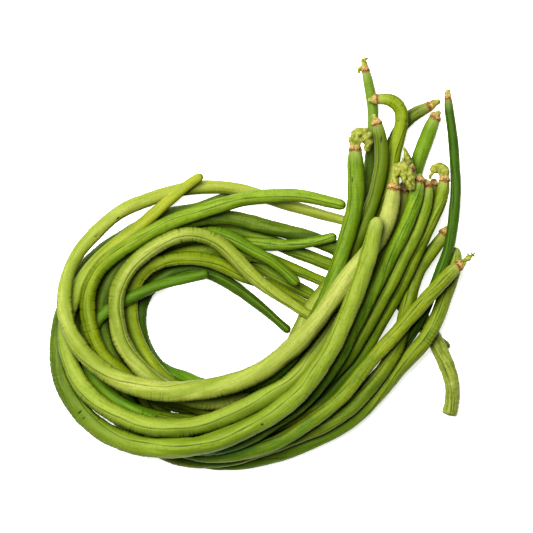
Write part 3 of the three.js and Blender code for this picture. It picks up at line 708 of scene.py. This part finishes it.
# %% Small growths on the stumps
# Stump, then places on the picture with a height above the stump's free end and a radius in mm
GROWTHS = [
    ("stalk_17", [(470, 257.5, 0.5, 0.8), (468, 255, 1.4, 0.7), (466.8, 252.6, 2.0, 0.35)]),
    ("stalk_17", [(472.5, 255, 0.3, 0.6), (471, 252.6, 1.0, 0.5), (470.6, 250.6, 1.2, 0.25)]),
    ("stalk_17", [(472, 255.5, -0.4, 0.6), (474.6, 256, -0.2, 0.5), (476.4, 255.4, 0.3, 0.2)]),
    ("stalk_17", [(466, 260, 1.6, 1.0), (463, 260.5, 2.4, 0.9), (460, 262.5, 2.4, 0.4)]),
    ("stalk_17", [(466, 262, 1.0, 0.9), (464, 265, 1.4, 0.7), (463.5, 267.5, 0.8, 0.3)]),
    ("stalk_02", [(362.5, 66, 1.0, 1.0), (359.6, 69, 1.0, 1.1), (359, 73.5, 0.4, 0.6)]),
    ("stalk_02", [(363, 61, 1.2, 1.1), (366, 58.5, 1.6, 1.0), (368.5, 58.5, 1.4, 0.6)]),
    ("stalk_08", [(408.5, 166, 1.0, 0.8), (404.2, 162.5, 1.2, 1.1), (402.4, 157.5, 1.0, 0.3)]),
    ("stalk_08", [(410.5, 163, 1.6, 0.8), (407.5, 157, 2.2, 1.0), (404, 149.5, 1.2, 0.25)]),
    ("stalk_06", [(405, 180, 2.0, 1.2), (408.5, 184.5, 2.4, 1.6), (410.5, 190.5, 1.2, 1.1)]),
    ("stalk_06", [(401, 174, 2.4, 1.4), (403.5, 179, 3.0, 1.8), (404, 184, 1.6, 0.9)]),
    ("stalk_14", [(433, 172, 0.6, 1.2), (430.5, 176, 0.8, 1.0), (430.5, 179.5, 0.2, 0.7)]),
    ("stalk_01", [(357, 139, 1.4, 1.6), (361, 137.5, 2.2, 1.7), (366, 137, 1.2, 1.0)]),
]


def growth(number, stump, places):
    """A small knobbly twig through a few places, with the radius given at each."""
    luck = np.random.default_rng(200 + number)
    free_end = rings_of(stump, pod_rings[stump.replace("stalk", "pod")][0][0])[0][-1]
    x, y, above, thick = np.array(places).T
    flat = on_picture(x, y).T
    line, at = through(np.column_stack([flat, free_end[2] + above]), STALK_STEP)
    heading, right, up = directions(line)
    shares = np.linspace(0, 1, len(places))
    radius = np.interp(at / at[-1], shares, thick) * cap(at, 0.8) * cap(at[-1] - at, 0.8)
    angle = STALK_COLUMNS[None, ::2]
    across = outward(right, up, angle)
    smooth = line[:, None] + across * radius[:, None, None]
    out = np.maximum(radius[:, None] * (1 + 0.25 * lumps(smooth, 1.6, luck)), THINNEST)
    grid = line[:, None] + across * out[..., None]
    marks = {
        "straight": with_poles(straightened(at, out, angle), [0, 0, 0], [at[-1], 0, 0]),
        "from_pod": with_poles(np.full(out.shape, FAR_AWAY), FAR_AWAY, FAR_AWAY),
    }
    return closed_skin(f"{stump}_growth_{number}", grid, marks)


growths = [growth(number, stump, places) for number, (stump, places) in enumerate(GROWTHS)]
for piece in growths:
    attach(piece, "root")
print(len(growths), "twigs, buds and scales")

# %% [markdown]
# ## Finishes
#
# Colours are written as they look in the picture. The lamp there is so bright that the white
# table is washed out, so one function turns a colour into linear values and takes that much
# light off it. Another adds one node with its settings and its links, and every material below
# is built from it.

# %% Helpers for materials
LIGHT = 2.2  # about how many times brighter than the screen's white a white sheet is under the lamp


def linear(hex_colour):
    """The linear red, green, blue and alpha that look like a hex colour: sRGB curve / LIGHT."""
    value = np.array([int(hex_colour[i : i + 2], 16) / 255 for i in (1, 3, 5)])
    value = np.where(value <= 0.04045, value / 12.92, ((value + 0.055) / 1.055) ** 2.4)
    return (*(value / LIGHT).tolist(), 1.0)


def node(tree, kind, sockets=None, out=0, **properties):
    """Adds a node and gives back one of its outputs. sockets maps an input to what goes in.

    An output of another node is linked to it, and anything else becomes its value."""
    added = tree.nodes.new(kind)
    for name, value in properties.items():
        setattr(added, name, value)
    for socket, value in (sockets or {}).items():
        if isinstance(value, bpy.types.NodeSocket):
            tree.links.new(value, added.inputs[socket])
        else:
            added.inputs[socket].default_value = value
    return added.outputs[out] if len(added.outputs) else added


def new_material(name):
    """An empty material and its node tree."""
    material = bpy.data.materials.new(name)
    material.use_nodes = True
    material.node_tree.nodes.clear()
    return material, material.node_tree


print("mid green in linear light:", [round(v, 3) for v in linear("#86a83a")[:3]])

# %% [markdown]
# ## Bean skin
#
# A fresh pod is waxy: a soft, wide gloss over a green that is pale where the skin is young and
# deep where it has had sun. Close up it is streaked along its length and freckled, with a dark
# thread in the seam and a pale lip beside it. Towards the stalk it bleaches, and right at the
# collar it is stained brown. The noise is laid over the straightened pod: its clouds are some
# 50 mm long and 6 mm wide, its streaks 12 mm by 1 mm, its wrinkles 1 mm by 5 mm across, its
# freckles 1 to 2 mm, and its grain less than half a millimetre.
#
# All of that could be painted on an image, but a formula stays sharp however close one comes. The
# green is built in layers, as a painter would: each layer goes by one value, such as a noise or
# the distance from the seam, and mixes a shade over what is there.

# %% Layers of colour
MIX_A, MIX_B = 6, 7  # the colour inputs of a mix node
IN_COLOUR = {"out": 2, "data_type": "RGBA"}
NOISE, RANGE, MIX = "ShaderNodeTexNoise", "ShaderNodeMapRange", "ShaderNodeMix"
MATH, VECTOR, MARK = "ShaderNodeMath", "ShaderNodeVectorMath", "ShaderNodeAttribute"


def layered(tree, colour, layers):
    """A colour with layers over it: colour * (1 - share) + shade * share, for one after another.

    A layer's share goes from 0 where its value is absent to most where its value is full."""
    for value, absent, full, most, shade in layers:
        limits = {"Value": value, "From Min": absent, "From Max": full, "To Max": most}
        share = node(tree, RANGE, limits)
        colour = node(tree, MIX, {0: share, MIX_A: colour, MIX_B: shade}, **IN_COLOUR)
    return colour


print("a layer is one", RANGE, "and one", MIX)

# %% The finish of a pod
TAIL_BLENDS_OVER = 70.0  # mm


def bean_skin(name, seed, stain, pale, deep, stem, tail, tail_from):
    """Waxy bean skin: two greens in clouds, streaks and freckles, with other shades at both ends."""
    material, tree = new_material(name)
    straight = node(tree, MARK, out="Vector", attribute_name="straight")
    marks = ("beside_seam", "crease", "scar", "pale_scar", "to_tip")
    values = [node(tree, MARK, out="Fac", attribute_name=mark) for mark in marks]
    beside, crease, scar, pale_scar, to_tip = values
    along = node(tree, "ShaderNodeSeparateXYZ", {0: straight})

    # Noise at five sizes: waves in a millimetre along the pod and across it, and how much detail
    stretches = [(0.02, 0.16, 3.0), (0.08, 0.95, 3.0), (0.95, 0.22, 2.0), (0.7, 0.7, 3.0), (2.6, 2.6, 2.0)]
    moved = node(tree, VECTOR, {0: straight, 1: (seed, seed, 0)}, operation="ADD")
    noises = []
    for lengthwise, crosswise, detail in stretches:
        waves = (lengthwise, crosswise, crosswise)
        stretched = node(tree, VECTOR, {0: moved, 1: waves}, operation="MULTIPLY")
        noises.append(node(tree, NOISE, {"Vector": stretched, "Scale": 1.0, "Detail": detail}))
    clouds, streaks, wrinkles, freckles, grain = noises

    # How far from the middle of the lip and of the seam, and the ragged edges of scar and stain
    from_lip = node(tree, MATH, {0: beside, 1: LIP_AWAY}, operation="SUBTRACT")
    from_lip = node(tree, MATH, {0: from_lip}, operation="ABSOLUTE")
    from_seam = node(tree, MATH, {0: beside}, operation="ABSOLUTE")
    patchy = node(tree, MATH, {0: grain, 1: 1.6, 2: pale_scar}, operation="MULTIPLY_ADD")
    ragged = node(tree, MATH, {0: freckles, 1: 5.0, 2: along}, operation="MULTIPLY_ADD")
    green = layered(tree, linear(pale), [
        # The pod's two greens, the stem's shade before them and the tail's after them; the stem and tail
        # shades are partly painted shade and painted light
        (clouds, 0.41, 0.6, 1.0, linear(deep)),
        (along, 150.0, 70.0, 0.85, linear(stem)),
        (along, tail_from, tail_from + TAIL_BLENDS_OVER, 0.85, linear(tail)),
        # Streaks, wrinkles and freckles
        (streaks, 0.46, 0.68, 0.75, linear(deep)),
        (wrinkles, 0.5, 0.72, 0.35, linear(deep)),
        (freckles, 0.6, 0.78, 0.45, linear("#4c6416")),
        # The pale lip beside the seam, the broken thread in it, painted shade in the creases, and scars
        (from_lip, 0.9, 0.2, 0.4, linear(pale)),
        (from_seam, 0.5, 0.12, streaks, linear("#26360a")),
        (crease, 0.1, 0.9, 0.42, linear("#3a5012")),
        (scar, 0.15, 0.6, 0.85, linear("#2c340e")),
        (patchy, 1.35, 1.7, 0.7, linear("#bcc486")),
        # The bleached neck, the brown stain at the collar and the dark point at the tip
        (along, 9.0, 1.0, 0.35, linear("#ccd488")),
        (ragged, 4.6, 3.6, stain, linear("#9a6434")),
        (to_tip, 1.6, 0.4, 0.8, linear("#4c4418")),
    ])

    uneven = node(tree, MATH, {0: streaks, 1: 0.8, 2: grain}, operation="MULTIPLY_ADD")
    uneven = node(tree, MATH, {0: wrinkles, 1: 1.6, 2: uneven}, operation="MULTIPLY_ADD")
    bump = node(tree, "ShaderNodeBump", {"Height": uneven, "Strength": 0.6, "Distance": 0.25 * MM})
    rough = node(tree, RANGE, {"Value": freckles, "To Min": 0.42, "To Max": 0.6})
    wax = {"Base Color": green, "Roughness": rough, "Normal": bump}
    gloss = {"IOR": 1.42, "Specular IOR Level": 0.18}
    shader = node(tree, "ShaderNodeBsdfPrincipled", wax | gloss)
    node(tree, "ShaderNodeOutputMaterial", {0: shader})
    return material


print("bean skin: noise at five sizes, and fourteen layers of colour")

# %% [markdown]
# ## Each pod's own green
#
# No two pods of a bunch are of one age, so their greens run from pale yellow green to deep green,
# and most of them change along the way. Part of that change is painted light and shade: a stretch
# that lies low or under other pods is given a darker shade, and one that faces up a paler one. One
# material with random shades would be shorter, but the eye finds its way through the bunch by which
# pod is pale and which is deep.

# %% The shades of the pods
COLLAR_STAIN = 0.85  # how brown a pod is at its collar
NOISE_APART = 37.0  # each pod reads its noise from another place, this many mm on

# Each pod's pale and deep green, the shades of its stem end and of its tail, and where in mm
# from the stem end the tail's shade begins
# The stem and tail shades, and the deep greens of the pods that lie lowest, are partly painted shade and
# painted light: darker where a stretch lies low or under other pods, paler where it faces up
GREENS = {
    "pod_01": ("#80a420", "#548018", "#889c24", "#4c5c10", 190.0),
    "pod_02": ("#b8c064", "#90a03c", "#6c9028", "#a8b448", 380.0),
    "pod_03": ("#98a424", "#6c8418", "#6c8018", "#98b440", 330.0),
    "pod_04": ("#a8b42c", "#7c901c", "#98a824", "#94a428", 330.0),
    "pod_05": ("#9cb040", "#809428", "#a4b448", "#546c1c", 215.0),
    "pod_06": ("#bcc464", "#98a840", "#c0c470", "#b0b850", 330.0),
    "pod_07": ("#a8b84c", "#8ca038", "#8c9438", "#b0b438", 330.0),
    "pod_08": ("#8c9824", "#607414", "#8c9428", "#5c7414", 200.0),
    "pod_09": ("#7c9030", "#546c1c", "#889438", "#b8c058", 545.0),
    "pod_10": ("#98b02c", "#689020", "#88a428", "#5c7c1c", 300.0),
    "pod_11": ("#849824", "#447410", "#94b02c", "#98b03c", 360.0),
    "pod_12": ("#a4b438", "#688c20", "#98a834", "#8c9c28", 360.0),
    "pod_13": ("#7c9024", "#4c6810", "#889428", "#5c7414", 200.0),
    "pod_14": ("#98a830", "#608418", "#98a82c", "#8c9c28", 360.0),
    "pod_15": ("#8c9c28", "#587818", "#909c28", "#a0a844", 550.0),
    "pod_16": ("#689020", "#406008", "#507010", "#4c6810", 130.0),
    "pod_17": ("#98a830", "#5c841c", "#a8b038", "#7c9820", 360.0),
    "pod_18": ("#94a830", "#648418", "#9ca838", "#7c9820", 90.0),
}
for name, piece in skins.items():
    number = int(name[-2:])
    stain = COLLAR_STAIN if name.replace("pod", "stalk") in stalks else 0.0
    skin = bean_skin(f"waxy bean skin {number}", number * NOISE_APART, stain, *GREENS[name])
    piece.data.materials.append(skin)
print(len(GREENS), "shades of bean skin")

# %% [markdown]
# ## Stalk and cork
#
# The neck of a stalk end is pale yellow green and slightly furry, so it hardly shines. Towards
# the pod it turns to dry cork: beige and matt, with red-brown cracks and a brown line at either
# edge of the collar. Blotches on the green are 1 to 2 mm wide, and cracks half a millimetre.

# %% The finish of a stalk end
def furry_stalk_and_cork(name):
    """Pale furry green that turns to beige cork with red-brown cracks within 4 mm of the pod."""
    material, tree = new_material(name)
    straight = node(tree, MARK, out="Vector", attribute_name="straight")
    from_pod = node(tree, MARK, out="Fac", attribute_name="from_pod")
    place = node(tree, "ShaderNodeTexCoord", out="Object")
    blotches = node(tree, NOISE, {"Vector": place, "Scale": 0.45 / MM, "Detail": 3.0})
    cracks = node(tree, NOISE, {"Vector": straight, "Scale": 1.6, "Detail": 3.0})
    from_middle = node(tree, MATH, {0: from_pod, 1: 1.5}, operation="SUBTRACT")
    from_middle = node(tree, MATH, {0: from_middle}, operation="ABSOLUTE")
    ragged = node(tree, MATH, {0: blotches, 1: -2.4, 2: from_pod}, operation="MULTIPLY_ADD")
    green = layered(tree, linear("#8a942c"), [
        (blotches, 0.38, 0.62, 1.0, linear("#c2c268")),
        (blotches, 0.64, 0.72, 0.7, linear("#5c4c1c")),
    ])
    both = layered(tree, linear("#7c4a1a"), [
        # Beige between the cracks, brown at both edges of the collar, and green away from it
        (cracks, 0.38, 0.5, 1.0, linear("#d6bc78")),
        (from_middle, 1.0, 1.7, 0.65, linear("#7a4418")),
        (ragged, 1.3, 1.9, 1.0, green),
    ])
    bump = node(tree, "ShaderNodeBump", {"Height": cracks, "Strength": 0.7, "Distance": 0.3 * MM})
    fur = {"Base Color": both, "Normal": bump, "Roughness": 0.75, "Specular IOR Level": 0.25}
    shader = node(tree, "ShaderNodeBsdfPrincipled", fur)
    node(tree, "ShaderNodeOutputMaterial", {0: shader})
    return material


cork = furry_stalk_and_cork("furry stalk and cork")
for piece in [*stumps.values(), *growths]:
    piece.data.materials.append(cork)
print("one finish for", len(stumps) + len(growths), "pieces")

# %% [markdown]
# ## The table
#
# The beans lie on a plain white table that is so brightly lit that it shows as pure white, with
# hardly a shadow on it. A brighter lamp alone would bleach the beans as well. So the table glows
# a little, which keeps its shadows pale and lights the pods from below.

# %% The table
TABLE_SIDE = 4.0  # m
GLOW = 0.5  # the table glows a little, which keeps the shadows on it pale
table_mesh = bpy.data.meshes.new("table")
half = TABLE_SIDE / 2
table_corners = [(-half, -half, 0), (half, -half, 0), (half, half, 0), (-half, half, 0)]
table_mesh.from_pydata(table_corners, [], [(0, 1, 2, 3)])
table = bpy.data.objects.new("table", table_mesh)
bpy.context.scene.collection.objects.link(table)

# Matt white board that also glows a little, which is painted light: it mirrors nothing, and with
# its glow it washes out evenly under the lamp
table_white, tree = new_material("matt white glowing table")
white = {"Base Color": (0.95, 0.95, 0.95, 1), "Roughness": 0.9}
glowing = {"Emission Color": (1, 1, 1, 1), "Emission Strength": GLOW}
matt = node(tree, "ShaderNodeBsdfPrincipled", white | glowing)
node(tree, "ShaderNodeOutputMaterial", {0: matt})
table_mesh.materials.append(table_white)
print("table of", TABLE_SIDE, "m")

# %% [markdown]
# ## The lights
#
# The light comes from one large lamp, nearly overhead and a little to the upper left, and a faint
# light from all sides. A small lamp would draw hard shadows. This one gives pods a soft shine
# along their tops, and dark, narrow shadows where they lie against each other. A contrasty look
# finishes the picture.

# %% The lights
KEY_PLACE, KEY_SIZE, KEY_WATTS = (-0.36, 0.45, 1.6), 1.0, 67  # m, m and W
ALL_ROUND = 0.08  # strength of the faint light from all sides
world = bpy.data.worlds.new("tent")
bpy.context.scene.world = world
world.use_nodes = True
world.node_tree.nodes["Background"].inputs["Color"].default_value = (1, 1, 1, 1)
world.node_tree.nodes["Background"].inputs["Strength"].default_value = ALL_ROUND


def soft_lamp(name, place, size, watts):
    """A square lamp that faces the middle of the bunch."""
    lamp = bpy.data.objects.new(name, bpy.data.lights.new(name, "AREA"))
    bpy.context.scene.collection.objects.link(lamp)
    lamp.data.size = size
    lamp.data.energy = watts
    lamp.location = place
    direction = -lamp.location.normalized()
    lamp.rotation_euler = direction.to_track_quat("-Z", "Y").to_euler()


soft_lamp("key", KEY_PLACE, KEY_SIZE, KEY_WATTS)
bpy.context.scene.view_settings.view_transform = "Standard"
bpy.context.scene.view_settings.look = "High Contrast"
print("the table and the light are set")
